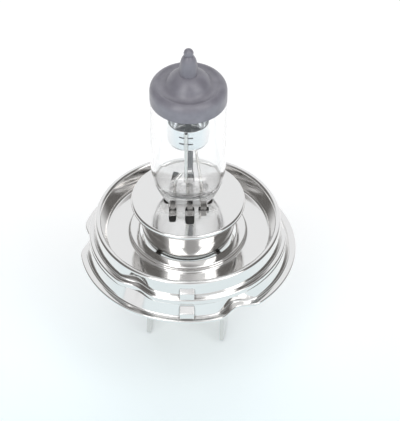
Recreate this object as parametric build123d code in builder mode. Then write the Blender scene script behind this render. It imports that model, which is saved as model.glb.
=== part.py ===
from build123d import *
import os
from math import cos, radians, sin, sqrt

# Halogen headlamp bulb with two filaments, on a round two-step pre-focus base with three blades.
# Millimetres, +Z along the bulb's axis, the front of the base, with its lugs, towards -Y.
# It stands on the ends of its blades, at Z = 0.

# Base dish, pressed from steel sheet: flange, lower wall, folded step, upper wall, rolled rim, floor, neck
flange_height = 24.5
dish_sheet = 0.6
flange_radius = 22.5
flange_width = 1.4
lower_wall_radius = flange_radius - flange_width
step_inset = 2.0
step_radius = flange_radius - step_inset
step_rise = 3.4
step_thickness = 1.2
step_overhang = 0.25
step_ledge = 1.1
upper_wall_radius = step_radius - step_ledge
rim_lean = 0.2
rim_radius = upper_wall_radius - rim_lean
rim_rise = 8.3
rim_lip_radius = 0.55
rim_inner_offset = 0.7
rim_width = 2.3
floor_radius = rim_radius - rim_width
floor_rise = 4.5
floor_corner_offset = 0.4
floor_width = 4.8
neck_radius = floor_radius - floor_width
neck_rise = 5.6
neck_width = 1.8
neck_bore_radius = neck_radius - neck_width

# Locating lugs lanced out of the two walls, and dents in the step and in the flange
lug_width = 3.0
lug_height = 1.6
lug_depth = 0.85
lug_slit = 0.25
lug_slit_depth = 1.56
dent_radius = 2.9
dent_depth = 1.4
dent_rise = 2.6
step_dent_angles = (-122.0, 8.0)
flange_dent_angles = (-60.5, 176.0)

# Holder sleeve, drawn from steel sheet: disc with a folded lip, slot and windows, tapered wall, four feet
sleeve_sheet = 0.5
disc_rise = 13.8
lip_radius = 11.7
lip_thickness = 1.2
lip_round = 0.54
sleeve_top_radius = 10.3
sleeve_foot_radius = 8.95
sleeve_foot_rise = 1.7
slot_end_gap = 0.9
slot_side_gap = 0.25
slot_corner = 0.9
window_widths = (1.5, 1.9, 2.1)
window_lengths = (4.6, 5.2, 2.0)
window_gap = 0.1
foot_width = 3.2
foot_thickness = 0.6
foot_lift = 2.5
foot_angles = (-46.0, -132.0, 46.0, 132.0)

# Pinch clip: spring-steel plate under the sleeve's disc, with tongues bent up on both faces of the pinch
clip_sheet = 0.4
clip_length = 13.6
clip_width = 9.6
clip_gap = 0.1
tongue_width = 1.3
tongue_places = (-3.1, 0.4, 3.2)
tongue_top_rise = 16.0

# Cap shell, drawn from steel sheet and crimped round the insulator
shell_sheet = 0.5
shell_top_rise = 9.0
shell_shoulder_rise = 1.5
shell_radius = 9.9
shell_depth = 9.0
crimp_width = 1.1
bead_depth = 0.4
bead_height = 0.6
fit_gap = 0.05

# Insulator and blades
insulator_thickness = 5.4
boss_height = 0.8
blade_width = 8.0
blade_thickness = 0.8
blade_inset = 0.9
blade_offset = shell_radius - crimp_width - blade_inset
blade_nose = 1.2
shank_width = 4.0
tab_height = 1.6
terminal_turn = -8.0

# Quartz envelope: tube, closed dome with an exhaust tip, bowl that runs down into a flat pinch
glass_radius = 7.6
glass_wall = 0.95
tube_top_rise = 42.8
bowl_top_rise = 27.5
bowl_foot_rise = 13.7
bowl_full_width_rise = 23.7
bowl_flat_rise = 12.5
pinch_width = 8.2
pinch_thickness = 3.6
pinch_top_rise = 16.0
pinch_bottom_rise = 3.4
pinch_edge = 0.8
cavity_bottom_rise = 15.2
coat_thickness = 0.08
coat_edge_rise = 40.6
tip_radius = 0.9
tip_rise = 52.1
tip_neck_angle = 37.0

# Outlines of the glass over the tube and of the cavity's dome: radius and height, as shares of the radius
crown_profile = (
    (1.0, 0.0), (0.95, 0.132), (0.83, 0.204), (0.711, 0.184), (0.566, 0.283),
    (0.421, 0.45), (0.217, 0.546), (0.222, 0.76), (0.198, 0.945), (0.158, 1.066),
)
cavity_dome = ((1.0, -0.09), (0.72, 0.06), (0.3, 0.286), (0.0, 0.391))

# Sections of the bowl: shares of its height, and how full of its width the cavity is at shares of its depth
bowl_shares = (0.0, 0.12, 0.3, 0.5, 0.75, 1.0)
cavity_steps = ((0.0, 0.45), (0.06, 0.72), (0.2, 0.92), (0.45, 1.0), (0.7, 1.0), (1.0, 1.0))

# Current path: foils in the pinch, leads on both sides of them
lead_radius = 0.4
lead_spacing = 2.6
foil_width = 1.9
foil_thickness = 0.12
foil_bottom_rise = 6.0
foil_length = 5.5
bend_radius = 0.9
weld_gap = 0.04

# Shield cup, its support wire and the two coils
cup_radius = 4.15
cup_wall = 0.25
cup_edge = 0.7
cup_bottom_rise = 30.3
cup_height = 5.3
cup_slit_width = 2.6
cup_slit_height = 0.35
cup_slit_rises = (2.2, 3.8)
support_x = -0.4
support_bend_low = 18.4
support_bend_high = 23.0
coil_radius = 0.65
coil_root = 0.4
coil_turns = 12
coil_length = 5.0
tail_radius = 0.16
low_coil_gap = 1.3
low_coil_rise = cup_bottom_rise + low_coil_gap
high_coil_rise = 21.6
high_coil_x = 0.35
high_coil_y = 0.6
high_lead_bend = 18.8
high_lead_rise = 20.0
low_lead_x = 1.3
low_lead_y = 5.2
low_lead_bends = (19.0, 24.5)
low_lead_gap = 2.3
low_lead_top_rise = low_coil_rise + coil_length + low_lead_gap

os.makedirs("parts", exist_ok=True)


def at(rise):
    """Height above the foot of the blades of a height above the flange's underside."""
    return flange_height + rise


def bowl_half_width(rise):
    """Half the bowl's width across the pinch: an elliptic curve from the pinch out to the tube."""
    narrowing = 1 - (pinch_width / 2 / glass_radius) ** 2
    u = min((rise - bowl_foot_rise) / (bowl_full_width_rise - bowl_foot_rise), 1)
    return glass_radius * sqrt(1 - narrowing * (1 - u) ** 2)


def bowl_half_depth(rise):
    """Half the bowl's thickness front to back: a smooth step from the flat pinch to the round tube."""
    u = (rise - bowl_flat_rise) / (bowl_top_rise - bowl_flat_rise)
    return pinch_thickness / 2 + (glass_radius - pinch_thickness / 2) * u * u * (3 - 2 * u)


step_top_rise = step_rise + step_thickness
lower_wall_top_radius = step_radius - step_overhang
tongue_y = bowl_half_depth(tongue_top_rise) + clip_gap
disc_under_rise = disc_rise - sleeve_sheet

# Base dish: the sheet's section turned round the axis
with BuildPart() as base_dish:
    with BuildSketch(Plane.XZ):
        with BuildLine():
            outside = Polyline(
                (flange_radius, at(0)),
                (flange_radius, at(dish_sheet)),
                (lower_wall_radius, at(dish_sheet)),
                (lower_wall_top_radius, at(step_rise)),
                (step_radius, at(step_rise)),
                (step_radius, at(step_top_rise)),
                (upper_wall_radius, at(step_top_rise)),
                (rim_radius, at(rim_rise - rim_lip_radius)),
            )
            rim = ThreePointArc(
                (rim_radius, at(rim_rise - rim_lip_radius)),
                (rim_radius - rim_lip_radius, at(rim_rise)),
                (rim_radius - 2 * rim_lip_radius, at(rim_rise - rim_lip_radius)),
            )
            inside = Polyline(
                (rim_radius - 2 * rim_lip_radius, at(rim_rise - rim_lip_radius)),
                (floor_radius, at(floor_rise)),
                (neck_radius, at(floor_rise)),
                (neck_radius, at(neck_rise)),
                (neck_bore_radius, at(neck_rise)),
                (neck_bore_radius, at(floor_rise - dish_sheet)),
                (floor_radius + floor_corner_offset, at(floor_rise - dish_sheet)),
                (rim_radius - rim_inner_offset, at(rim_rise - 2 * rim_lip_radius)),
                (upper_wall_radius - dish_sheet, at(step_top_rise - dish_sheet)),
                (lower_wall_top_radius - dish_sheet, at(step_top_rise - dish_sheet)),
                (lower_wall_radius - dish_sheet, at(0)),
                (flange_radius, at(0)),
            )
        make_face()
    revolve(axis=Axis.Z)

    # Dents: the sheet is pushed in, so a curved wall closes each cut from behind, and a floor the step's cuts
    dents = [(a, step_radius, lower_wall_top_radius, step_rise, dish_sheet) for a in step_dent_angles]
    dents += [(a, flange_radius, lower_wall_radius, 0.0, 0.0) for a in flange_dent_angles]
    for angle, edge_radius, clip_radius, foot_rise, floor_sheet in dents:
        centre = edge_radius - dent_depth + dent_radius
        spot = (centre * cos(radians(angle)), centre * sin(radians(angle)))
        with BuildSketch(Plane.XY.offset(at(foot_rise - floor_sheet))):
            with Locations(spot):
                Circle(dent_radius + dish_sheet)
            Circle(clip_radius - dish_sheet / 2, mode=Mode.INTERSECT)
        extrude(amount=dent_rise + dish_sheet + floor_sheet)
        with BuildSketch(Plane.XY.offset(at(foot_rise))):
            with Locations(spot):
                Circle(dent_radius)
        extrude(amount=dent_rise, mode=Mode.SUBTRACT)

    # Lugs: a slit above each lug shows where the sheet was cut and pushed out
    lugs = [(upper_wall_radius, step_top_rise), (lower_wall_radius, dish_sheet)]
    for wall_radius, foot_rise in lugs:
        lug_back = wall_radius - dish_sheet
        lug_front = wall_radius + lug_depth
        with Locations((0, -(lug_back + lug_front) / 2, at(foot_rise))):
            Box(lug_width, lug_front - lug_back, lug_height, align=(Align.CENTER, Align.CENTER, Align.MIN))
        with Locations((0, -lug_back, at(foot_rise + lug_height))):
            Box(lug_width, lug_slit_depth, lug_slit, align=(Align.CENTER, Align.CENTER, Align.MIN),
                mode=Mode.SUBTRACT)
base_dish.part.label = "base_dish"
export_step(base_dish.part, "parts/base_dish.step")

# Holder sleeve: section turned round the axis, then the slot, a window for each tongue, and the weld feet
with BuildPart() as holder_sleeve:
    with BuildSketch(Plane.XZ):
        with BuildLine():
            Polyline(
                (0, at(disc_rise)),
                (lip_radius, at(disc_rise)),
                (lip_radius, at(disc_rise - lip_thickness)),
                (sleeve_top_radius, at(disc_rise - lip_thickness)),
                (sleeve_foot_radius, at(sleeve_foot_rise)),
                (sleeve_foot_radius - sleeve_sheet, at(sleeve_foot_rise)),
                (sleeve_top_radius - sleeve_sheet, at(disc_under_rise)),
                (0, at(disc_under_rise)),
                close=True,
            )
        make_face()
    revolve(axis=Axis.Z)
    fillet(edges().filter_by(GeomType.CIRCLE).group_by(SortBy.RADIUS)[-1], radius=lip_round)
    slot_length = pinch_width + 2 * slot_end_gap
    slot_width = pinch_thickness + 2 * slot_side_gap
    window_near = tongue_y - window_gap
    with BuildSketch(Plane.XY.offset(at(disc_rise))):
        RectangleRounded(slot_length, slot_width, slot_corner)
        for place, width, length in zip(tongue_places, window_widths, window_lengths):
            for side in (-1, 1):
                with Locations((place, side * (window_near + length / 2))):
                    Rectangle(width, length)
    extrude(amount=-2 * lip_thickness, mode=Mode.SUBTRACT)
    sleeve_taper = (sleeve_top_radius - sleeve_foot_radius) / (disc_rise - lip_thickness - sleeve_foot_rise)
    foot_root = sleeve_foot_radius + foot_lift * sleeve_taper - sleeve_sheet / 2
    foot_reach = neck_bore_radius - weld_gap
    with BuildSketch(Plane.XY.offset(at(sleeve_foot_rise + foot_lift))):
        for angle in foot_angles:
            with Locations(Location((0, 0, 0), (0, 0, angle))):
                with Locations((foot_reach / 2, 0)):
                    Rectangle(foot_reach, foot_width)
        Circle(foot_reach, mode=Mode.INTERSECT)
        Circle(foot_root, mode=Mode.SUBTRACT)
    extrude(amount=foot_thickness)
holder_sleeve.part.label = "holder_sleeve"
export_step(holder_sleeve.part, "parts/holder_sleeve.step")

# Pinch clip: plate with a window for the pinch, tongues standing at the window's long edges
with BuildPart() as pinch_clip:
    with BuildSketch(Plane.XY.offset(at(disc_under_rise - clip_sheet))):
        RectangleRounded(clip_length, clip_width, slot_corner)
        Rectangle(slot_length, 2 * tongue_y, mode=Mode.SUBTRACT)
    extrude(amount=clip_sheet)
    with BuildSketch(Plane.XY.offset(at(disc_under_rise - clip_sheet))):
        for side in (-1, 1):
            for place in tongue_places:
                with Locations((place, side * (tongue_y + clip_sheet / 2))):
                    Rectangle(tongue_width, clip_sheet)
    extrude(amount=tongue_top_rise - disc_under_rise + clip_sheet)
pinch_clip.part.label = "pinch_clip"
export_step(pinch_clip.part, "parts/pinch_clip.step")

# Cap shell: its narrow end sits inside the sleeve's foot, its wide end holds the insulator
shell_neck_radius = sleeve_foot_radius - sleeve_sheet - fit_gap
shell_bore = shell_radius - shell_sheet
insulator_foot_rise = shell_sheet - shell_depth
insulator_top_rise = insulator_foot_rise + insulator_thickness
with BuildPart() as cap_shell:
    with BuildSketch(Plane.XZ):
        with BuildLine():
            Polyline(
                (shell_neck_radius, at(shell_top_rise)),
                (shell_neck_radius, at(shell_shoulder_rise)),
                (shell_radius, at(shell_shoulder_rise)),
                (shell_radius, at(-shell_depth)),
                (shell_radius - crimp_width, at(-shell_depth)),
                (shell_radius - crimp_width, at(insulator_foot_rise)),
                (shell_bore, at(insulator_foot_rise)),
                (shell_bore, at(insulator_top_rise)),
                (shell_bore - bead_depth, at(insulator_top_rise + bead_height / 2)),
                (shell_bore, at(insulator_top_rise + bead_height)),
                (shell_bore, at(shell_shoulder_rise - shell_sheet)),
                (shell_neck_radius - shell_sheet, at(shell_shoulder_rise - shell_sheet)),
                (shell_neck_radius - shell_sheet, at(shell_top_rise)),
                close=True,
            )
        make_face()
    revolve(axis=Axis.Z)
cap_shell.part.label = "cap_shell"
export_step(cap_shell.part, "parts/cap_shell.step")

# Insulator: ceramic disc with a boss through the crimped opening and a slot for each blade's shank
blade_angles = {"high_beam": 180.0, "low_beam": 0.0, "common": 90.0}
boss_foot_rise = insulator_foot_rise - boss_height
with BuildPart() as insulator:
    with BuildSketch(Plane.XY.offset(at(insulator_foot_rise))):
        Circle(shell_bore - fit_gap)
    extrude(amount=insulator_thickness)
    with BuildSketch(Plane.XY.offset(at(boss_foot_rise))):
        Circle(shell_radius - crimp_width - fit_gap)
    extrude(amount=boss_height)
    with BuildSketch(Plane.XY.offset(at(boss_foot_rise))):
        for angle in blade_angles.values():
            with Locations(Location((0, 0, 0), (0, 0, angle + terminal_turn))):
                with Locations((blade_offset, 0)):
                    Rectangle(blade_thickness + 2 * fit_gap, shank_width + 2 * fit_gap)
    extrude(amount=boss_height + insulator_thickness, mode=Mode.SUBTRACT)
insulator.part.label = "insulator"
export_step(insulator.part, "parts/insulator.step")

# Blades: flat below the insulator, with a narrower shank through it and a tab on top for the lead
blade_length = flange_height + boss_foot_rise
for circuit, angle in blade_angles.items():
    heading = radians(angle + terminal_turn)
    across = (-sin(heading), cos(heading), 0)
    outward = (cos(heading), sin(heading), 0)
    turned = Plane((0, 0, 0), x_dir=across, z_dir=outward)
    with BuildPart() as terminal:
        with BuildSketch(turned.offset(blade_offset - blade_thickness / 2)):
            with BuildLine():
                Polyline(
                    (-blade_width / 2 + blade_nose, 0),
                    (blade_width / 2 - blade_nose, 0),
                    (blade_width / 2, blade_nose),
                    (blade_width / 2, blade_length),
                    (shank_width / 2, blade_length),
                    (shank_width / 2, at(insulator_top_rise + tab_height)),
                    (-shank_width / 2, at(insulator_top_rise + tab_height)),
                    (-shank_width / 2, blade_length),
                    (-blade_width / 2, blade_length),
                    (-blade_width / 2, blade_nose),
                    close=True,
                )
            make_face()
        extrude(amount=blade_thickness)
    terminal.part.label = circuit + "_terminal"
    export_step(terminal.part, "parts/" + circuit + "_terminal.step")

# Foils, and the outer leads that run from them to the tabs of the blades
pinch_places = {"high_beam": -lead_spacing, "common": 0.0, "low_beam": lead_spacing}
foil_top_rise = foil_bottom_rise + foil_length
lead_end_radius = blade_offset - blade_thickness / 2 - lead_radius - weld_gap
lead_turn_rise = pinch_bottom_rise - 2 * bend_radius
lead_drop_rise = insulator_top_rise + 2 * tab_height
for circuit, place in pinch_places.items():
    with BuildPart() as foil:
        with Locations((place, 0, at(foil_bottom_rise))):
            Box(foil_width, foil_thickness, foil_length, align=(Align.CENTER, Align.CENTER, Align.MIN))
    foil.part.label = circuit + "_foil"
    export_step(foil.part, "parts/" + circuit + "_foil.step")

    heading = radians(blade_angles[circuit] + terminal_turn)
    end_x = lead_end_radius * cos(heading)
    end_y = lead_end_radius * sin(heading)
    with BuildPart() as outer_lead:
        with BuildLine() as route:
            FilletPolyline(
                (place, 0, at(foil_bottom_rise)),
                (place, 0, at(lead_turn_rise)),
                (end_x, end_y, at(lead_drop_rise)),
                (end_x, end_y, at(insulator_top_rise + weld_gap)),
                radius=bend_radius,
            )
        with BuildSketch(Plane.XY.offset(at(foil_bottom_rise))):
            with Locations((place, 0)):
                Circle(lead_radius)
        sweep(path=route.wires()[0])
    outer_lead.part.label = circuit + "_outer_lead"
    export_step(outer_lead.part, "parts/" + circuit + "_outer_lead.step")

# Shield cup with two slits in front, behind the support wire that is welded to it
with BuildPart() as low_beam_shield:
    with Locations((0, 0, at(cup_bottom_rise))):
        Cylinder(cup_radius, cup_height, align=(Align.CENTER, Align.CENTER, Align.MIN))
    fillet(faces().sort_by(Axis.Z)[0].edges(), radius=cup_edge)
    offset(amount=-cup_wall, openings=faces().sort_by(Axis.Z)[-1])
    for rise in cup_slit_rises:
        with Locations((support_x, -cup_radius, at(cup_bottom_rise + rise))):
            Box(cup_slit_width, 4 * cup_wall, cup_slit_height, mode=Mode.SUBTRACT)
low_beam_shield.part.label = "low_beam_shield"
export_step(low_beam_shield.part, "parts/low_beam_shield.step")

# Inner leads: round wire from the top of each foil, bent to what it carries
support_y = -(cup_radius + lead_radius + weld_gap)
inner_routes = {
    "shield_support": (
        (0, 0, at(foil_top_rise)),
        (0, 0, at(support_bend_low)),
        (support_x, support_y, at(support_bend_high)),
        (support_x, support_y, at(cup_bottom_rise + cup_height)),
    ),
    "low_beam_lead": (
        (lead_spacing, 0, at(foil_top_rise)),
        (lead_spacing, 0, at(low_lead_bends[0])),
        (low_lead_x, low_lead_y, at(low_lead_bends[1])),
        (low_lead_x, low_lead_y, at(low_lead_top_rise)),
        (0, -lead_radius, at(low_lead_top_rise)),
    ),
    "high_beam_lead": (
        (-lead_spacing, 0, at(foil_top_rise)),
        (-lead_spacing, 0, at(high_lead_bend)),
        (high_coil_x - 2 * coil_radius, high_coil_y, at(high_lead_rise)),
        (high_coil_x + coil_radius, high_coil_y, at(high_lead_rise)),
    ),
}
for name, points in inner_routes.items():
    with BuildPart() as inner_lead:
        with BuildLine() as route:
            FilletPolyline(*points, radius=bend_radius)
        with BuildSketch(Plane.XY.offset(at(foil_top_rise))):
            with Locations((points[0][0], 0)):
                Circle(lead_radius)
        sweep(path=route.wires()[0])
    inner_lead.part.label = name
    export_step(inner_lead.part, "parts/" + name + ".step")

# Coils: close turns, with a straight tail at each end that reaches its lead or the cup
coils = {
    "low_beam_filament": (
        (0, 0), low_coil_rise,
        cup_bottom_rise + cup_wall, low_lead_top_rise - lead_radius - weld_gap,
    ),
    "high_beam_filament": (
        (high_coil_x, high_coil_y), high_coil_rise,
        high_lead_rise + lead_radius + weld_gap, cup_bottom_rise - weld_gap,
    ),
}
turn_pitch = coil_length / coil_turns
for name, (spot, coil_rise, tail_foot, tail_head) in coils.items():
    section = Plane((spot[0], spot[1], at(coil_rise)), x_dir=(1, 0, 0), z_dir=(0, -1, 0))
    foot = tail_foot - coil_rise
    head = tail_head - coil_rise
    outline = [(0, foot), (tail_radius, foot), (tail_radius, 0), (coil_root, 0)]
    for turn in range(coil_turns):
        outline += [(coil_radius, (turn + 0.5) * turn_pitch), (coil_root, (turn + 1) * turn_pitch)]
    outline += [(tail_radius, coil_length), (tail_radius, head), (0, head)]
    with BuildPart() as filament:
        with BuildSketch(section):
            with BuildLine():
                Polyline(*outline, close=True)
            make_face()
        revolve(axis=Axis((spot[0], spot[1], 0), (0, 0, 1)))
    filament.part.label = name
    export_step(filament.part, "parts/" + name + ".step")

# Quartz envelope: arcs run from the tube over a low shoulder and trough, up the dome to the tip's ball
tip_neck = radians(tip_neck_angle)
crown_points = [(wide * glass_radius, tube_top_rise + high * glass_radius) for wide, high in crown_profile]
crown_points += [
    (tip_radius * cos(tip_neck), tip_rise - tip_radius * sin(tip_neck)),
    (tip_radius, tip_rise),
    (0, tip_rise + tip_radius),
]
crown_places = [Vector(radius, at(rise)) for radius, rise in crown_points]
crown_arcs = [
    ThreePointArc(*crown_places[first:first + 3])
    for first in range(0, len(crown_places) - 1, 2)
]


def coat_way(arc, share):
    """Direction out of the glass at a share of an arc's length."""
    along = arc % share
    return Vector(along.Y, -along.X)


# The coat's arcs lie a coat's thickness outside the glass and meet between the normals of its arcs
coat_joints = [crown_places[0] + coat_way(crown_arcs[0], 0) * coat_thickness]
for before, after in zip(crown_arcs, crown_arcs[1:]):
    middle = coat_way(before, 1) + coat_way(after, 0)
    coat_joints.append(before @ 1 + middle * (2 * coat_thickness / middle.length ** 2))
tip_centre = Vector(0, at(tip_rise))
tip_reach = (coat_joints[-1] - tip_centre).normalized() * (tip_radius + coat_thickness)
coat_joints[-1] = tip_centre + tip_reach
coat_joints.append(crown_places[-1] + Vector(0, coat_thickness))
coat_arcs = [
    ThreePointArc(foot, arc @ 0.5 + coat_way(arc, 0.5) * coat_thickness, head)
    for foot, arc, head in zip(coat_joints, crown_arcs, coat_joints[1:])
]

cavity_radius = glass_radius - glass_wall
cavity_depth = bowl_top_rise - cavity_bottom_rise
bowl_height = bowl_top_rise - bowl_foot_rise
dome_places = [(wide * cavity_radius, at(tube_top_rise + high * cavity_radius)) for wide, high in cavity_dome]
tube_foot = at(bowl_top_rise)
with BuildPart() as glass_envelope:
    with BuildSketch(Plane.XZ):
        with BuildLine():
            add(crown_arcs)
            Polyline(crown_places[-1], (0, tube_foot), (glass_radius, tube_foot), crown_places[0])
        make_face()
    revolve(axis=Axis.Z)
    for share in bowl_shares:
        rise = bowl_foot_rise + share * bowl_height
        with BuildSketch(Plane.XY.offset(at(rise))):
            Ellipse(bowl_half_width(rise), bowl_half_depth(rise))
    loft()
    with BuildSketch(Plane.XY.offset(at(pinch_bottom_rise))):
        RectangleRounded(pinch_width, pinch_thickness, pinch_edge)
    extrude(amount=pinch_top_rise - pinch_bottom_rise)

    # Cavity: round in the tube, closing over the pinch, with a shallow dome under the exhaust tip
    with BuildSketch(Plane.XZ):
        with BuildLine():
            Polyline(dome_places[-1], (0, tube_foot), (cavity_radius, tube_foot), dome_places[0])
            Spline(*dome_places, tangents=[(0, 1), (-1, 0)])
        make_face()
    revolve(axis=Axis.Z, mode=Mode.SUBTRACT)
    for share, filling in cavity_steps:
        rise = cavity_bottom_rise + share * cavity_depth
        half_width = filling * (bowl_half_width(rise) - glass_wall)
        half_depth = filling * (bowl_half_depth(rise) - glass_wall)
        with BuildSketch(Plane.XY.offset(at(rise))):
            Ellipse(half_width, half_depth)
    loft(mode=Mode.SUBTRACT)

    # The glass is pressed tight round the foils and the ends of the leads
    for place in pinch_places.values():
        with Locations((place, 0, at(foil_bottom_rise))):
            Box(foil_width, foil_thickness, foil_length, align=(Align.CENTER, Align.CENTER, Align.MIN),
                mode=Mode.SUBTRACT)
        with Locations((place, 0, at(pinch_bottom_rise))):
            Cylinder(lead_radius, foil_bottom_rise - pinch_bottom_rise,
                     align=(Align.CENTER, Align.CENTER, Align.MIN), mode=Mode.SUBTRACT)
        with Locations((place, 0, at(foil_top_rise))):
            Cylinder(lead_radius, support_bend_low - bend_radius - foil_top_rise,
                     align=(Align.CENTER, Align.CENTER, Align.MIN), mode=Mode.SUBTRACT)
glass_envelope.part.label = "glass_envelope"
export_step(glass_envelope.part, "parts/glass_envelope.step")

# Grey coat: an even skin on the dome and the top of the tube, the coated outline less the glass inside it
coat_foot = at(coat_edge_rise)
coat_radius = glass_radius + coat_thickness
with BuildPart() as glare_coat:
    with BuildSketch(Plane.XZ):
        with BuildLine():
            add(coat_arcs)
            Polyline(coat_joints[-1], (0, coat_foot), (coat_radius, coat_foot), coat_joints[0])
        make_face()
    revolve(axis=Axis.Z)
    with BuildSketch(Plane.XZ):
        with BuildLine():
            add(crown_arcs)
            Polyline(crown_places[-1], (0, coat_foot), (glass_radius, coat_foot), crown_places[0])
        make_face()
    revolve(axis=Axis.Z, mode=Mode.SUBTRACT)
glare_coat.part.label = "glare_coat"
export_step(glare_coat.part, "parts/glare_coat.step")
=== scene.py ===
import bmesh
import bpy
from math import atan2, cos, hypot, pi, radians, sin, sqrt, tan
from mathutils import Matrix, Vector


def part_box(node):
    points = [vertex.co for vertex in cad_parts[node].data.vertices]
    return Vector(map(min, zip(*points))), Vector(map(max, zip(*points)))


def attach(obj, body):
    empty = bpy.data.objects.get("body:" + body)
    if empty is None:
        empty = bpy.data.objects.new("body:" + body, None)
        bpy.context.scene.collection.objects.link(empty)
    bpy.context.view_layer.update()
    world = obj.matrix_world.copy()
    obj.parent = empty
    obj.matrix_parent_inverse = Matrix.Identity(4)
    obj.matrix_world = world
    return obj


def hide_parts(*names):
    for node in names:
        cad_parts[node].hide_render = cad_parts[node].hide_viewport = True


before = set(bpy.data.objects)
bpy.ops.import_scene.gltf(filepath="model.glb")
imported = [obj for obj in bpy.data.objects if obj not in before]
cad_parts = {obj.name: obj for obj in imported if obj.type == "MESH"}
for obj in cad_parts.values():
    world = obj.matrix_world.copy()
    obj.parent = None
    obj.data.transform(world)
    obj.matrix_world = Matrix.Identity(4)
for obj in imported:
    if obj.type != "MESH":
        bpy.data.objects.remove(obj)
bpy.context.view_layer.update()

# Base dish: the two-step cup that seats in the headlight, pressed from one bright steel sheet.
# Dies form its flange, folded step, rolled rim and neck; then lugs are lanced out and dents set in.
mm = 0.001
flange_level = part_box("base_dish")[0][2]
dish_steps = 360
dish_outline = [
    # radius, rise over the flange's underside, corner round
    (22.5, 0.0, 0.12), (22.5, 0.6, 0.25), (21.1, 0.6, 0.3),  # flange
    (20.25, 3.4, 0.1), (20.5, 3.4, 0.1), (20.5, 4.6, 0.35), (19.4, 4.6, 0.3),  # folded step
    (19.2, 8.3, 0.54), (18.1, 8.3, 0.54),  # rolled rim
    (16.9, 4.5, 0.5), (12.1, 4.5, 0.35),  # floor
    (12.1, 5.6, 0.4), (9.95, 5.6, 0.35), (9.95, 3.9, 0.15),  # neck
    (17.3, 3.9, 0.3), (18.5, 7.2, 0.08),  # underside of the floor and the rim
    (18.8, 4.0, 0.1), (19.65, 4.0, 0.15), (20.5, 0.0, 0.15),  # underside of the step
]
step_dent = {"depth": 1.0, "half_width": 4.6, "foot": 2.8, "full": (3.5, 4.75), "top": 6.2}
flange_dent = {"depth": 1.8, "half_width": 5.0, "foot": -2.0, "full": (-1.0, 0.7), "top": 3.3}
dents = ((-122.0, step_dent), (8.0, step_dent), (-60.5, flange_dent), (176.0, flange_dent))
undented_radius = 18.3
lugs = (
    # near low corner, far high corner, how far the top climbs to the back
    ((-1.5, -20.25, 4.5), (1.5, -18.9, 6.2), 0.8),
    ((-1.5, -21.95, 0.5), (1.5, -20.3, 2.2), 0.9),
)
lug_edge = 0.14


def turned(outline, steps, closed=True):
    """Turns an outline of (radius, rise, corner round) in mm round the bulb's axis."""
    bm = bmesh.new()
    corners = [bm.verts.new((radius * mm, 0, flange_level + rise * mm)) for radius, rise, _ in outline]
    ends = corners[1:] + corners[:1] if closed else corners[1:]
    for start, end in zip(corners, ends):
        bm.edges.new((start, end))
    for corner, (_, _, corner_round) in zip(corners, outline):
        if corner_round:
            bmesh.ops.bevel(bm, geom=[corner], offset=corner_round * mm, offset_type="OFFSET", segments=4,
                            profile=0.5, affect="VERTICES", material=-1)
    bmesh.ops.spin(bm, geom=bm.verts[:] + bm.edges[:], cent=(0, 0, 0), axis=(0, 0, 1), angle=2 * pi,
                   steps=steps, use_merge=True)
    bmesh.ops.remove_doubles(bm, verts=bm.verts[:], dist=1e-7)
    bmesh.ops.recalc_face_normals(bm, faces=bm.faces[:])
    return bm


def press_dent(bm, angle, depth, half_width, foot, full, top):
    """Pushes the sheet in round one angle: most between the two rises of full, fading to foot and top."""
    for vert in bm.verts:
        rise = (vert.co.z - flange_level) / mm
        radius = hypot(vert.co.x, vert.co.y) / mm
        away = (atan2(vert.co.y, vert.co.x) - radians(angle) + pi) % (2 * pi) - pi
        share = abs(away) * radius / half_width
        if share >= 1 or radius < undented_radius or not foot < rise < top:
            continue
        fade = min((rise - foot) / (full[0] - foot), 1, (top - rise) / (top - full[1]))
        flank = 1 - share
        push = depth * flank * flank * (3 - 2 * flank) * fade * fade * (3 - 2 * fade)
        vert.co.xy *= 1 - push / radius


def block(bm, low, high, edge, slope=0.0):
    """A block between two corners in mm, with rounded edges and a top that may climb to the back."""
    low, high = Vector(low) * mm, Vector(high) * mm
    middle = (low + high) / 2 + Vector((0, 0, flange_level))
    size = Matrix.Diagonal((*(high - low), 1))
    made = bmesh.ops.create_cube(bm, size=1, matrix=Matrix.Translation(middle) @ size)["verts"]
    for vert in made:
        if vert.co.y > middle.y and vert.co.z > middle.z:
            vert.co.z += slope * mm
    edges = list({edge for vert in made for edge in vert.link_edges})
    bmesh.ops.bevel(bm, geom=edges, offset=edge * mm, offset_type="OFFSET", segments=3, profile=0.5,
                    affect="EDGES", material=-1)


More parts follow.
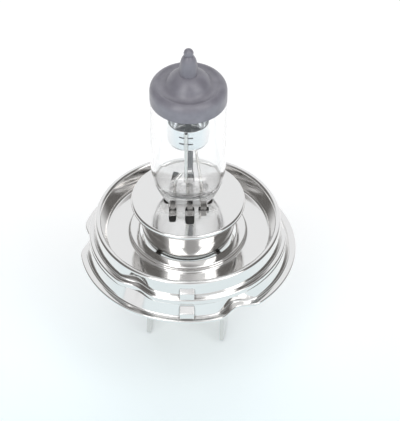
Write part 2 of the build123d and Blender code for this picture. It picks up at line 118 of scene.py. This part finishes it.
def worked_metal(name, colour, blur, marks_size):
    """Bright worked metal: a mirror blurred unevenly by faint die and handling marks, with painted shade
    darkening its corners.
    """
    finish = bpy.data.materials.new(name)
    finish.use_nodes = True
    nodes, links = finish.node_tree.nodes, finish.node_tree.links
    shader = nodes["Principled BSDF"]
    shader.inputs["Metallic"].default_value = 1.0
    # Painted shade: ambient occlusion darkens the colour in corners and creases, where shade falls.
    corners = nodes.new("ShaderNodeAmbientOcclusion")
    corners.inputs["Distance"].default_value = 0.7 * mm
    corner_shade = 0.3
    painted_corner_shade = nodes.new("ShaderNodeValToRGB")
    painted_corner_shade.color_ramp.elements[0].position = 0.4
    painted_corner_shade.color_ramp.elements[0].color = (*[corner_shade * part for part in colour], 1)
    painted_corner_shade.color_ramp.elements[1].position = 0.8
    painted_corner_shade.color_ramp.elements[1].color = (*colour, 1)
    links.new(corners.outputs["AO"], painted_corner_shade.inputs["Fac"])
    links.new(painted_corner_shade.outputs["Color"], shader.inputs["Base Color"])
    place = nodes.new("ShaderNodeTexCoord")
    marks = nodes.new("ShaderNodeTexNoise")
    marks.inputs["Scale"].default_value = 1 / (marks_size * mm)
    marks.inputs["Detail"].default_value = 4.0
    spread = nodes.new("ShaderNodeMapRange")
    spread.inputs["From Min"].default_value = 0.35
    spread.inputs["From Max"].default_value = 0.65
    spread.inputs["To Min"].default_value = blur * 0.7
    spread.inputs["To Max"].default_value = blur * 1.4
    relief = nodes.new("ShaderNodeBump")
    relief.inputs["Strength"].default_value = 0.05
    relief.inputs["Distance"].default_value = 0.1 * mm
    links.new(place.outputs["Object"], marks.inputs["Vector"])
    links.new(marks.outputs["Fac"], spread.inputs["Value"])
    links.new(spread.outputs["Result"], shader.inputs["Roughness"])
    links.new(marks.outputs["Fac"], relief.inputs["Height"])
    links.new(relief.outputs["Normal"], shader.inputs["Normal"])
    return finish


def fit_piece(bm, name, finish, slot, *nodes):
    """Makes a smooth piece of a finished mesh, in place of its CAD nodes."""
    mesh = bpy.data.meshes.new(name)
    bm.to_mesh(mesh)
    bm.free()
    mesh.shade_smooth()
    mesh.set_sharp_from_angle(angle=radians(40))
    mesh.materials.append(finish)
    made = bpy.data.objects.new(name, mesh)
    bpy.context.scene.collection.objects.link(made)
    flats = made.modifiers.new("true_flats", "WEIGHTED_NORMAL")
    flats.keep_sharp = True
    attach(made, "root")
    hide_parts(*nodes)
    return made


bright_steel = worked_metal("bright_steel", (0.80, 0.79, 0.78), 0.10, 2.5)
dish = turned(dish_outline, dish_steps)
for dent_angle, dent in dents:
    press_dent(dish, dent_angle, **dent)
for low_corner, high_corner, climb in lugs:
    block(dish, low_corner, high_corner, lug_edge, climb)
fit_piece(dish, "base_dish_sheet", bright_steel, "bright_steel", "base_dish")

# Holder sleeve: the collar that carries the glass, drawn from the same bright sheet with a folded lip.
# Its disc is pierced by a slot for the pinch and by windows for the clip's tongues on both sides of it.
# Four small feet join it to the neck of the dish.
sleeve_steps = 256
disc_top = 13.8
disc_under = 13.3
disc_edge = 8.5
slot_half_length = 5.0
slot_half_width = 2.05
hole_squareness = 6
tongue_face = 2.7
window_play = 0.1
windows = (
    # middle across, width, length
    (-3.1, 1.5, 4.6), (0.4, 1.9, 5.2), (3.2, 2.1, 2.0),
)
sleeve_outline = [
    (disc_edge, disc_top, 0), (11.7, disc_top, 0.52), (11.7, 12.6, 0.45), (10.3, 12.6, 0.3),
    (8.95, 1.7, 0.1), (8.45, 1.7, 0.1), (9.8, disc_under, 0.3), (disc_edge, disc_under, 0),
]
foot_angles = (-46.0, -132.0, 46.0, 132.0)
foot_corners = (9.0, -0.7, 4.0), (9.97, 0.7, 4.4)
foot_edge = 0.12


def hole_edge(bm, rise, middle, half_length, half_width):
    """A ring of edges round a hole in the disc, a rectangle with rounded corners, sizes in mm."""
    circle = Matrix.Translation((0, 0, flange_level + rise * mm))
    ring = bmesh.ops.create_circle(bm, cap_ends=False, radius=mm, segments=64, matrix=circle)["verts"]
    for vert in ring:
        angle = atan2(vert.co.y, vert.co.x)
        along, across = abs(cos(angle) / half_length), abs(sin(angle) / half_width)
        reach = (along ** hole_squareness + across ** hole_squareness) ** (-1 / hole_squareness)
        vert.co.xy = ((middle[0] + reach * cos(angle)) * mm, (middle[1] + reach * sin(angle)) * mm)
    return list({edge for vert in ring for edge in vert.link_edges})


sleeve = turned(sleeve_outline, sleeve_steps, closed=False)
rims = [edge for edge in sleeve.edges if edge.is_boundary]
pierced_faces = []
for rise in (disc_top, disc_under):
    rim = [edge for edge in rims if abs(edge.verts[0].co.z - flange_level - rise * mm) < 0.1 * mm]
    holes = [hole_edge(sleeve, rise, (0, 0), slot_half_length, slot_half_width)]
    for side in (-1, 1):
        for across, wide, long in windows:
            middle = (across, side * (tongue_face - window_play + long / 2))
            holes.append(hole_edge(sleeve, rise, middle, wide / 2, long / 2))
    bmesh.ops.triangle_fill(sleeve, use_beauty=True, edges=rim + sum(holes, []), normal=(0, 0, 1))
    pierced_faces.append(holes)
for upper_hole, lower_hole in zip(*pierced_faces):
    bmesh.ops.bridge_loops(sleeve, edges=upper_hole + lower_hole)
bmesh.ops.recalc_face_normals(sleeve, faces=sleeve.faces[:])
for foot_angle in foot_angles:
    before = set(sleeve.verts)
    block(sleeve, *foot_corners, foot_edge)
    foot = [vert for vert in sleeve.verts if vert not in before]
    bmesh.ops.rotate(sleeve, verts=foot, cent=(0, 0, 0), matrix=Matrix.Rotation(radians(foot_angle), 3, "Z"))
fit_piece(sleeve, "holder_sleeve_sheet", bright_steel, "bright_steel", "holder_sleeve")

# Pinch clip: a plate under the disc, with tongues bent up that grip both faces of the glass pinch.
# It is cut from bright spring steel and held between the disc and the glass by its own spring.
clip_edge = 0.08
plate_under = 12.9
plate_half_length = 6.8
plate_half_width = 4.8
tongue_half_width = 0.65
tongue_sheet = 0.4
tongue_foot = 12.95
tongue_top = 16.0
clip_steel = worked_metal("clip_steel", (0.66, 0.65, 0.64), 0.2, 1.2)
clip = bmesh.new()
for side in (-1, 1):
    near, far = sorted((side * tongue_face, side * plate_half_width))
    block(clip, (-plate_half_length, near, plate_under), (plate_half_length, far, disc_under), clip_edge)
    near, far = sorted((side * slot_half_length, side * plate_half_length))
    block(clip, (near, -tongue_face, plate_under), (far, tongue_face, disc_under), clip_edge)
    for across, _, _ in windows:
        near, far = sorted((side * tongue_face, side * (tongue_face + tongue_sheet)))
        left, right = across - tongue_half_width, across + tongue_half_width
        block(clip, (left, near, tongue_foot), (right, far, tongue_top), clip_edge)
fit_piece(clip, "pinch_clip_spring", clip_steel, "spring_steel", "pinch_clip")

# Cap shell: the steel cup under the dish that closes the leads in and carries the insulator.
# It is drawn from sheet, with a narrow neck in the sleeve and a foot crimped over the insulator's edge.
shell_steps = 192
shell_outline = [
    (8.4, 9.0, 0.1), (8.4, 1.5, 0.2), (9.9, 1.5, 0.6), (9.9, -9.0, 0.5),  # outside, from the neck down
    (8.8, -9.0, 0.1), (8.8, -8.5, 0.1), (9.4, -8.5, 0),  # crimped foot
    (9.4, -3.1, 0), (9.0, -2.8, 0), (9.4, -2.5, 0),  # bead over the insulator
    (9.4, 1.0, 0.2), (7.9, 1.0, 0.2), (7.9, 9.0, 0.1),  # inside, up to the neck
]
fit_piece(turned(shell_outline, shell_steps), "cap_shell_cup", bright_steel, "bright_steel", "cap_shell")

# Insulator: the disc in the foot of the shell that holds the blades apart.
# It is pressed from ceramic powder and fired, so it is pale, dull and slightly speckled.
ceramic = bpy.data.materials.new("pressed_ceramic")
ceramic.use_nodes = True
nodes, links = ceramic.node_tree.nodes, ceramic.node_tree.links
shader = nodes["Principled BSDF"]
shader.inputs["Roughness"].default_value = 0.6
place = nodes.new("ShaderNodeTexCoord")
speckle = nodes.new("ShaderNodeTexNoise")
speckle.inputs["Scale"].default_value = 1500.0
shades = nodes.new("ShaderNodeValToRGB")
shades.color_ramp.elements[0].position = 0.35
shades.color_ramp.elements[0].color = (0.62, 0.59, 0.52, 1)
shades.color_ramp.elements[1].position = 0.6
shades.color_ramp.elements[1].color = (0.80, 0.78, 0.72, 1)
links.new(place.outputs["Object"], speckle.inputs["Vector"])
links.new(speckle.outputs["Fac"], shades.inputs["Fac"])
links.new(shades.outputs["Color"], shader.inputs["Base Color"])


def dress_node(node, finish):
    """Gives a CAD node that is shown as it is its finish."""
    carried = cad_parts[node]
    carried.data.materials.clear()
    carried.data.materials.append(finish)


dress_node("insulator", ceramic)

# Blades: three flat terminals stamped from plated strip, each with a narrower shank through the insulator.
# Two face each other and the third stands across at the back.
blade_metal = worked_metal("blade_plating", (0.74, 0.735, 0.72), 0.16, 1.5)
blade_outline = [
    # across, height over the blade ends
    (-2.8, 0.0), (2.8, 0.0), (4.0, 1.2), (4.0, 15.2), (2.0, 15.2),
    (2.0, 23.0), (-2.0, 23.0), (-2.0, 15.2), (-4.0, 15.2), (-4.0, 1.2),
]
blade_inner_face = 7.5
blade_sheet = 0.8
blade_edge = 0.1
blades_turn = -8.0
for circuit, blade_angle in (("high_beam", 180.0), ("low_beam", 0.0), ("common", 90.0)):
    blade = bmesh.new()
    corners = [blade.verts.new((blade_inner_face * mm, across * mm, up * mm)) for across, up in blade_outline]
    blank = blade.faces.new(corners)
    thick = bmesh.ops.extrude_face_region(blade, geom=[blank])["geom"]
    outer_face = [item for item in thick if isinstance(item, bmesh.types.BMVert)]
    bmesh.ops.translate(blade, vec=(blade_sheet * mm, 0, 0), verts=outer_face)
    bmesh.ops.recalc_face_normals(blade, faces=blade.faces[:])
    bmesh.ops.bevel(blade, geom=blade.edges[:], offset=blade_edge * mm, offset_type="OFFSET", segments=2,
                    profile=0.5, affect="EDGES", material=-1)
    turn = Matrix.Rotation(radians(blade_angle + blades_turn), 3, "Z")
    bmesh.ops.rotate(blade, verts=blade.verts[:], cent=(0, 0, 0), matrix=turn)
    fit_piece(blade, circuit + "_blade", blade_metal, "blade_metal", circuit + "_terminal")

# Outer leads and foils: the path of the current from the blades through the pinch of the glass.
# Round wire is welded to each blade, and a thin molybdenum foil is sealed in the quartz above it.
lead_metal = worked_metal("lead_wire", (0.70, 0.69, 0.67), 0.2, 0.6)
foil_metal = worked_metal("foil_strip", (0.50, 0.50, 0.51), 0.3, 0.5)
for circuit in ("high_beam", "low_beam", "common"):
    dress_node(circuit + "_outer_lead", lead_metal)
    dress_node(circuit + "_foil", foil_metal)

# Inner leads: round drawn wire that stands in the pinch and carries the coils and the cup.
# Each is bent cold: one to the front of the cup, one round behind it to the top of the low beam coil,
# and a short one to the foot of the high beam coil.
wire_radius = 0.32
wire_bend = 0.9
inner_leads = {
    "shield_support": ((0, 0, 11.5), (0, 0, 18.4), (-0.4, -4.5, 23.0), (-0.4, -4.5, 35.6)),
    "low_beam_lead": ((2.6, 0, 11.5), (2.6, 0, 19.0), (1.3, 5.2, 24.5), (1.3, 5.2, 38.9), (0, -0.4, 38.9)),
    "high_beam_lead": ((-2.6, 0, 11.5), (-2.6, 0, 18.8), (-0.95, 0.6, 20.0), (1.0, 0.6, 20.0)),
}


def drawn_wire(bm, points, radius, bend):
    """A round wire along straight runs in mm, with an arc of the bend radius at each corner."""
    path = [Vector(point) * mm + Vector((0, 0, flange_level)) for point in points]
    heading = (path[1] - path[0]).normalized()
    start = Matrix.Translation(path[0]) @ heading.to_track_quat("Z", "Y").to_matrix().to_4x4()
    ring = bmesh.ops.create_circle(bm, cap_ends=False, radius=radius * mm, segments=16, matrix=start)["verts"]
    edges = list({edge for vert in ring for edge in vert.link_edges})
    bmesh.ops.edgeloop_fill(bm, edges=edges)
    here = path[0]
    for index in range(1, len(path)):
        last = index == len(path) - 1
        after = heading if last else (path[index + 1] - path[index]).normalized()
        turn = heading.angle(after) if not last else 0.0
        stop = path[index] - heading * bend * mm * tan(turn / 2)
        grown = bmesh.ops.extrude_edge_only(bm, edges=edges)["geom"]
        moved = [item for item in grown if isinstance(item, bmesh.types.BMVert)]
        bmesh.ops.translate(bm, verts=moved, vec=stop - here)
        edges = [item for item in grown if isinstance(item, bmesh.types.BMEdge)
                 and item.verts[0] in moved and item.verts[1] in moved]
        here = stop
        if last:
            bmesh.ops.edgeloop_fill(bm, edges=edges)
        else:
            axis = heading.cross(after).normalized()
            centre = stop + axis.cross(heading) * bend * mm
            bent = bmesh.ops.spin(bm, geom=moved + edges, cent=centre, axis=axis, angle=turn, steps=8)
            edges = [item for item in bent["geom_last"] if isinstance(item, bmesh.types.BMEdge)]
            here = path[index] + after * bend * mm * tan(turn / 2)
            heading = after
    bmesh.ops.recalc_face_normals(bm, faces=bm.faces[:])


for lead, route in inner_leads.items():
    wire = bmesh.new()
    drawn_wire(wire, route, wire_radius, wire_bend)
    fit_piece(wire, lead + "_wire", lead_metal, "lead_wire", lead)

# Shield cup: a small pressed cup round the low beam coil, which cuts off the light below it.
# It is bright molybdenum, with two slits in front behind the weld of its support.
cup_steps = 192
cup_outside, cup_inside = 4.15, 3.9
cup_under, cup_floor, cup_top = 30.3, 30.55, 35.6
cup_lip = 0.08
slit_edges = (32.3, 32.65, 33.9, 34.25)
slit_width = 2.6
slit_middle = -0.4
cup_outline = [(0.0, cup_under, 0), (cup_outside, cup_under, 0.7)]
cup_outline += [(cup_outside, rise, 0) for rise in slit_edges]
cup_outline += [(cup_outside, cup_top, cup_lip), (cup_inside, cup_top, cup_lip)]
cup_outline += [(cup_inside, rise, 0) for rise in reversed(slit_edges)]
cup_outline += [(cup_inside, cup_floor, 0.45), (0.0, cup_floor, 0)]


def cut_window(bm, wide, low, high, middle):
    """Opens a window in a thin front wall and closes the wall's cut edge round it."""
    gone = []
    for face in bm.faces:
        spot = face.calc_center_median()
        rise = (spot.z - flange_level) / mm
        if spot.y < 0 and abs(spot.x / mm - middle) < wide / 2 and low < rise < high:
            gone.append(face)
    bmesh.ops.delete(bm, geom=gone, context="FACES")
    bmesh.ops.bridge_loops(bm, edges=[edge for edge in bm.edges if edge.is_boundary])


cup_metal = worked_metal("shield_metal", (0.86, 0.87, 0.88), 0.16, 1.0)
cup = turned(cup_outline, cup_steps, closed=False)
for slit_foot, slit_head in zip(slit_edges[::2], slit_edges[1::2]):
    cut_window(cup, slit_width, slit_foot, slit_head, slit_middle)
fit_piece(cup, "low_beam_shield_cup", cup_metal, "shield_metal", "low_beam_shield")

# Filaments: the two coils that glow, wound close from fine tungsten wire.
# Each has a straight tail at its foot and a cranked one at its head, welded to the leads and the cup.
tungsten = worked_metal("tungsten_coil", (0.30, 0.30, 0.31), 0.4, 0.3)
coil_turns = 12
coil_length = 5.0
coil_reach = 0.53
coil_wire = 0.12
turn_steps = 20
tail_bend = 0.2
crank_foot, crank_head = 0.4, 1.1
crank_reach = 0.1
coils = {
    # axis across and deep, foot of the coil, end of the lower tail, end of the upper tail
    "low_beam_filament": ((0.0, 0.0), 31.6, 30.55, 38.5),
    "high_beam_filament": ((0.35, 0.6), 21.6, 20.4, 30.28),
}
for filament, ((across, deep), foot, tail_foot, tail_head) in coils.items():
    coil = bmesh.new()
    side, head = across + coil_reach, foot + coil_length
    start = Matrix.Translation((side * mm, deep * mm, flange_level + foot * mm))
    start = start @ Matrix.Rotation(pi / 2, 4, "X")
    ring = bmesh.ops.create_circle(coil, cap_ends=False, radius=coil_wire * mm, segments=8,
                                   matrix=start)["verts"]
    ring_edges = list({edge for vert in ring for edge in vert.link_edges})
    climb = coil_length / coil_turns / turn_steps * mm
    bmesh.ops.spin(coil, geom=ring + ring_edges, cent=(across * mm, deep * mm, 0), axis=(0, 0, 1),
                   dvec=(0, 0, climb), angle=2 * pi * coil_turns, steps=coil_turns * turn_steps)
    bmesh.ops.recalc_face_normals(coil, faces=coil.faces[:])
    drawn_wire(coil, ((side, deep, foot), (side, deep, tail_foot)), coil_wire, tail_bend)
    upper_tail = ((side, deep, head), (side, deep, head + crank_foot),
                  (across + crank_reach, deep, head + crank_head), (across + crank_reach, deep, tail_head))
    drawn_wire(coil, upper_tail, coil_wire, tail_bend)
    fit_piece(coil, filament + "_coil", tungsten, "tungsten", filament)

# Quartz envelope: a clear tube, domed at the top round the exhaust tip and pressed flat at the foot.
# Heat shapes it from one piece of tube; a round cavity holds the gas and the coils.
# The press leaves its foot rippled, so the glass there looks a little ground.
glass_radius = 7.6
glass_wall = 0.95
tube_top = 42.8
bowl_top = 27.5
bowl_full_width = 23.7
bowl_foot = 13.7
bowl_flat = 12.5
pinch_half = (4.1, 1.8)
round_squareness, pinch_squareness = 2, 6
tip_radius = 0.9
tip_rise = 52.1
tip_shoulder = radians(37)
crown_shares = [
    # radius and height over the tube's top, as shares of the glass radius
    (1.0, 0.0), (0.95, 0.132), (0.83, 0.204), (0.711, 0.184), (0.566, 0.283), (0.421, 0.45), (0.217, 0.546),
    (0.222, 0.76), (0.198, 0.945), (0.158, 1.066),
]
crown_arc_steps = 12
pinch_levels = [3.4, 8.0, 12.0]
bowl_levels = [bowl_foot + 0.4 * i for i in range(35)]
tube_levels = [29.0, 33.0, 38.0]
cavity_foot = 15.2
cavity_round = (
    # lift over the cavity's foot, share of the full width
    (0.0, 0.4), (0.13, 0.55), (0.4, 0.72), (0.8, 0.84), (1.3, 0.92), (2.0, 0.97),
)
cavity_levels = [18.0 + 0.5 * i for i in range(20)]
cavity_dome = [(6.65, 42.2), (4.79, 43.2), (0.03, 45.4)]
dome_steps = 16
ring_points = 128


def arc(first, middle, last, steps):
    """Points in mm on the arc through three points, without the last."""
    (ax, ay), (bx, by), (cx, cy) = first, middle, last
    a2, b2, c2 = ax * ax + ay * ay, bx * bx + by * by, cx * cx + cy * cy
    d = 2 * (ax * (by - cy) + bx * (cy - ay) + cx * (ay - by))
    ux = (a2 * (by - cy) + b2 * (cy - ay) + c2 * (ay - by)) / d
    uy = (a2 * (cx - bx) + b2 * (ax - cx) + c2 * (bx - ax)) / d
    reach = hypot(ax - ux, ay - uy)
    begin = atan2(ay - uy, ax - ux)
    half = (atan2(by - uy, bx - ux) - begin + pi) % (2 * pi) - pi
    whole = half + (atan2(cy - uy, cx - ux) - atan2(by - uy, bx - ux) + pi) % (2 * pi) - pi
    angles = [begin + whole * i / steps for i in range(steps)]
    return [(ux + reach * cos(angle), uy + reach * sin(angle)) for angle in angles]


def bowl_section(rise):
    """Half width, half depth and squareness of the bowl at a height."""
    widening = min(max((rise - bowl_foot) / (bowl_full_width - bowl_foot), 0), 1)
    deepening = min(max((rise - bowl_flat) / (bowl_top - bowl_flat), 0), 1)
    narrowing = 1 - (pinch_half[0] / glass_radius) ** 2
    half_width = glass_radius * sqrt(1 - narrowing * (1 - widening) ** 2)
    half_depth = pinch_half[1] + (glass_radius - pinch_half[1]) * deepening * deepening * (3 - 2 * deepening)
    square = round_squareness + (pinch_squareness - round_squareness) * (1 - widening) ** 4
    return half_width, half_depth, square


def glass_ring(bm, rise, half_width, half_depth, square):
    """A ring of edges across the glass, from a circle to a rounded rectangle as square grows from 2."""
    level = Matrix.Translation((0, 0, flange_level + rise * mm))
    ring = bmesh.ops.create_circle(bm, cap_ends=False, radius=mm, segments=ring_points, matrix=level)["verts"]
    for vert in ring:
        angle = atan2(vert.co.y, vert.co.x)
        x = abs(cos(angle)) ** (2 / square) * half_width * mm
        y = abs(sin(angle)) ** (2 / square) * half_depth * mm
        vert.co.xy = (x if cos(angle) > 0 else -x, y if sin(angle) > 0 else -y)
    return list({edge for vert in ring for edge in vert.link_edges})


def blown_skin(bm, sections):
    """A closed skin through rings from the foot up, with a face at both ends, facing out."""
    rings = [glass_ring(bm, *section) for section in sections]
    for lower, upper in zip(rings, rings[1:]):
        bmesh.ops.bridge_loops(bm, edges=lower + upper)
    bmesh.ops.edgeloop_fill(bm, edges=rings[0])
    bmesh.ops.edgeloop_fill(bm, edges=rings[-1])
    bmesh.ops.recalc_face_normals(bm, faces=bm.faces[:])
    if bm.calc_volume(signed=True) < 0:
        bmesh.ops.reverse_faces(bm, faces=bm.faces[:])


crown = [(wide * glass_radius, tube_top + high * glass_radius) for wide, high in crown_shares]
crown += [
    (tip_radius * cos(tip_shoulder), tip_rise - tip_radius * sin(tip_shoulder)), (tip_radius, tip_rise),
    (0, tip_rise + tip_radius),
]
crown_line = []
for first in range(0, len(crown) - 1, 2):
    crown_line += arc(*crown[first:first + 3], crown_arc_steps)
outer = [(rise, *bowl_section(rise)) for rise in pinch_levels + bowl_levels]
outer += [(rise, glass_radius, glass_radius, round_squareness) for rise in tube_levels]
outer += [(rise, radius, radius, round_squareness) for radius, rise in crown_line]
cavity = []
for lift, filling in cavity_round:
    rise = cavity_foot + lift
    half_width, half_depth, square = bowl_section(rise)
    cavity.append((rise, filling * (half_width - glass_wall), filling * (half_depth - glass_wall), square))
for rise in cavity_levels + tube_levels:
    half_width, half_depth, square = bowl_section(rise)
    cavity.append((rise, half_width - glass_wall, half_depth - glass_wall, square))
cavity += [(rise, radius, radius, round_squareness) for radius, rise in arc(*cavity_dome, dome_steps)]

quartz = bpy.data.materials.new("clear_quartz")
quartz.use_nodes = True
nodes, links = quartz.node_tree.nodes, quartz.node_tree.links
shader = nodes["Principled BSDF"]
shader.inputs["Base Color"].default_value = (1, 1, 1, 1)
shader.inputs["Roughness"].default_value = 0.0
shader.inputs["IOR"].default_value = 1.46
place = nodes.new("ShaderNodeTexCoord")
drawn = nodes.new("ShaderNodeMapping")
drawn.inputs["Scale"].default_value = (1, 1, 0.08)
streaks = nodes.new("ShaderNodeTexNoise")
streaks.inputs["Scale"].default_value = 700.0
relief = nodes.new("ShaderNodeBump")
relief.inputs["Strength"].default_value = 0.03
relief.inputs["Distance"].default_value = 0.05 * mm
links.new(place.outputs["Object"], drawn.inputs["Vector"])
links.new(drawn.outputs["Vector"], streaks.inputs["Vector"])
links.new(streaks.outputs["Fac"], relief.inputs["Height"])
links.new(relief.outputs["Normal"], shader.inputs["Normal"])
height = nodes.new("ShaderNodeSeparateXYZ")
uneven = nodes.new("ShaderNodeMath")
uneven.operation = "MULTIPLY_ADD"
uneven.inputs[1].default_value = 2.0 * mm
clearness = nodes.new("ShaderNodeMapRange")
clearness.inputs["From Min"].default_value = flange_level + 15.0 * mm
clearness.inputs["From Max"].default_value = flange_level + 18.0 * mm
clearness.inputs["To Min"].default_value = 0.35
links.new(place.outputs["Object"], height.inputs["Vector"])
links.new(streaks.outputs["Fac"], uneven.inputs[0])
links.new(height.outputs["Z"], uneven.inputs[2])
links.new(uneven.outputs["Value"], clearness.inputs["Value"])
links.new(clearness.outputs["Result"], shader.inputs["Transmission Weight"])

envelope = bmesh.new()
blown_skin(envelope, cavity)
bmesh.ops.reverse_faces(envelope, faces=envelope.faces[:])
outside = bmesh.new()
blown_skin(outside, outer)
skin = bpy.data.meshes.new("outside_skin")
outside.to_mesh(skin)
outside.free()
envelope.from_mesh(skin)
bpy.data.meshes.remove(skin)
glass = fit_piece(envelope, "quartz_envelope", quartz, "clear_quartz", "glass_envelope")
glass.visible_shadow = False

# Glare coat: the grey cap on the dome, which stops light straight ahead.
# The finished glass is dipped in heat-proof paint, which dries to a thin, slightly cloudy, half-dull skin.
coat_steps = 192
coat_levels = (40.6, 41.7)
coat_outside, coat_inside = 0.08, -0.03
coat_paint = bpy.data.materials.new("grey_coat")
coat_paint.use_nodes = True
nodes, links = coat_paint.node_tree.nodes, coat_paint.node_tree.links
shader = nodes["Principled BSDF"]
shader.inputs["Roughness"].default_value = 0.34
shader.inputs["Specular IOR Level"].default_value = 0.8
place = nodes.new("ShaderNodeTexCoord")
cloud = nodes.new("ShaderNodeTexNoise")
cloud.inputs["Scale"].default_value = 500.0
cloud.inputs["Detail"].default_value = 6.0
shades = nodes.new("ShaderNodeValToRGB")
shades.color_ramp.elements[0].position = 0.3
shades.color_ramp.elements[0].color = (0.18, 0.172, 0.204, 1)
shades.color_ramp.elements[1].position = 0.7
shades.color_ramp.elements[1].color = (0.23, 0.222, 0.256, 1)
relief = nodes.new("ShaderNodeBump")
relief.inputs["Strength"].default_value = 0.08
relief.inputs["Distance"].default_value = 0.1 * mm
links.new(place.outputs["Object"], cloud.inputs["Vector"])
links.new(cloud.outputs["Fac"], shades.inputs["Fac"])
links.new(shades.outputs["Color"], shader.inputs["Base Color"])
links.new(cloud.outputs["Fac"], relief.inputs["Height"])
links.new(relief.outputs["Normal"], shader.inputs["Normal"])


def offset_line(line, amount):
    """The crown's outline moved outwards by an amount in mm."""
    moved = []
    for index, (radius, rise) in enumerate(line):
        before = line[max(index - 1, 0)]
        after = line[min(index + 1, len(line) - 1)]
        along = Vector((after[0] - before[0], after[1] - before[1])).normalized()
        moved.append((max(radius + amount * along.y, 0), rise - amount * along.x, 0))
    return moved


full_line = [(glass_radius, rise) for rise in coat_levels] + crown_line + [crown[-1]]
coat_outline = offset_line(full_line, coat_outside) + offset_line(full_line, coat_inside)[::-1]
fit_piece(turned(coat_outline, coat_steps), "glare_coat_paint", coat_paint, "grey_coat", "glare_coat")

# Floor: the pale table that the bulb stands on, a plain matt sheet, a little cooler on the near side.
# It glows a little, as a light table does, so the shadow under the bulb stays faint.
floor_half = 4.0
floor_mesh = bpy.data.meshes.new("floor")
table = bmesh.new()
bmesh.ops.create_grid(table, x_segments=1, y_segments=1, size=floor_half)
table.to_mesh(floor_mesh)
table.free()
floor = bpy.data.objects.new("floor", floor_mesh)
bpy.context.scene.collection.objects.link(floor)
pale_table = bpy.data.materials.new("pale_table")
pale_table.use_nodes = True
nodes, links = pale_table.node_tree.nodes, pale_table.node_tree.links
shader = nodes["Principled BSDF"]
shader.inputs["Roughness"].default_value = 0.9
shader.inputs["Specular IOR Level"].default_value = 0.0
shader.inputs["Emission Strength"].default_value = 0.42
place = nodes.new("ShaderNodeTexCoord")
along = nodes.new("ShaderNodeSeparateXYZ")
distance = nodes.new("ShaderNodeMapRange")
distance.inputs["From Min"].default_value = -0.03
distance.inputs["From Max"].default_value = 0.04
tint = nodes.new("ShaderNodeValToRGB")
tint.color_ramp.elements[0].color = (0.69, 0.76, 0.78, 1)
tint.color_ramp.elements[1].color = (0.83, 0.83, 0.83, 1)
links.new(place.outputs["Object"], along.inputs["Vector"])
links.new(along.outputs["Y"], distance.inputs["Value"])
links.new(distance.outputs["Result"], tint.inputs["Fac"])
links.new(tint.outputs["Color"], shader.inputs["Base Color"])
links.new(tint.outputs["Color"], shader.inputs["Emission Color"])
floor_mesh.materials.append(pale_table)

# Room: pale walls all round, with a dark one at each side and a grey ceiling over the camera.
# The steel mirrors them as light and dark bands. Both sides are alike, so the left is folded onto the right.
dark_walls = (
    # middle of a dark wall, cosines of its outer and inner edges, how dark it is
    ((0.806, 0.07, 0.588), 0.745, 0.9, 1.0), ((0.0, -0.64, 0.768), 0.9, 0.97, 0.65),
)
world = bpy.data.worlds.new("studio")
world.use_nodes = True
bpy.context.scene.world = world
nodes, links = world.node_tree.nodes, world.node_tree.links
sky = nodes["Background"]
direction = nodes.new("ShaderNodeTexCoord")
parts = nodes.new("ShaderNodeSeparateXYZ")
either_side = nodes.new("ShaderNodeMath")
either_side.operation = "ABSOLUTE"
folded = nodes.new("ShaderNodeCombineXYZ")
links.new(direction.outputs["Generated"], parts.inputs["Vector"])
links.new(parts.outputs["X"], either_side.inputs[0])
links.new(either_side.outputs["Value"], folded.inputs["X"])
links.new(parts.outputs["Y"], folded.inputs["Y"])
links.new(parts.outputs["Z"], folded.inputs["Z"])
darkest = nodes.new("ShaderNodeMath")
darkest.operation = "MAXIMUM"
for index, (wall_middle, outer_edge, inner_edge, darkness) in enumerate(dark_walls):
    nearness = nodes.new("ShaderNodeVectorMath")
    nearness.operation = "DOT_PRODUCT"
    nearness.inputs[1].default_value = wall_middle
    share = nodes.new("ShaderNodeMapRange")
    share.inputs["From Min"].default_value = outer_edge
    share.inputs["From Max"].default_value = inner_edge
    share.inputs["To Max"].default_value = darkness
    links.new(folded.outputs["Vector"], nearness.inputs[0])
    links.new(nearness.outputs["Value"], share.inputs["Value"])
    links.new(share.outputs["Result"], darkest.inputs[index])
tone = nodes.new("ShaderNodeValToRGB")
tone.color_ramp.elements[0].color = (0.97, 0.985, 1.0, 1)
tone.color_ramp.elements[1].color = (0.18, 0.175, 0.17, 1)
links.new(darkest.outputs["Value"], tone.inputs["Fac"])
links.new(tone.outputs["Color"], sky.inputs["Color"])

# Soft boxes: two tall lamps with cloth fronts, which draw the long highlights on the steel.
# They stand to the left and right of the near side and are aimed down at the bulb.
box_azimuths = {"left_softbox": -121.0, "right_softbox": -36.0}
box_elevation = radians(50)
box_distance = 0.7
for box_name, box_azimuth in box_azimuths.items():
    soft = bpy.data.lights.new(box_name, "AREA")
    soft.shape = "RECTANGLE"
    soft.size = 0.27
    soft.size_y = 0.60
    soft.energy = 1.0
    lamp = bpy.data.objects.new(box_name, soft)
    bpy.context.scene.collection.objects.link(lamp)
    level, upward = cos(box_elevation), sin(box_elevation)
    spot = Vector((cos(radians(box_azimuth)) * level, sin(radians(box_azimuth)) * level, upward))
    lamp.location = spot * box_distance
    lamp.rotation_euler = spot.to_track_quat("Z", "Y").to_euler()

# Camera: the photograph's place, a long lens looking down at the bulb.
# The tilt and the slight roll are those that fit the circles of the base in the photograph.
camera_tilt, camera_roll = radians(46.5), radians(0.48)
camera_data = bpy.data.cameras.new("camera")
camera_data.lens = 202.5
camera_data.sensor_width = 36.0
camera_data.sensor_fit = "HORIZONTAL"
camera_data.clip_end = 20
camera = bpy.data.objects.new("camera", camera_data)
camera.location = (0.00246, -0.3359, 0.3535)
aim = Matrix.Rotation(camera_tilt, 4, "X") @ Matrix.Rotation(camera_roll, 4, "Z")
camera.rotation_euler = aim.to_euler()
bpy.context.scene.collection.objects.link(camera)
bpy.context.scene.camera = camera
bpy.context.scene.view_settings.view_transform = "Standard"
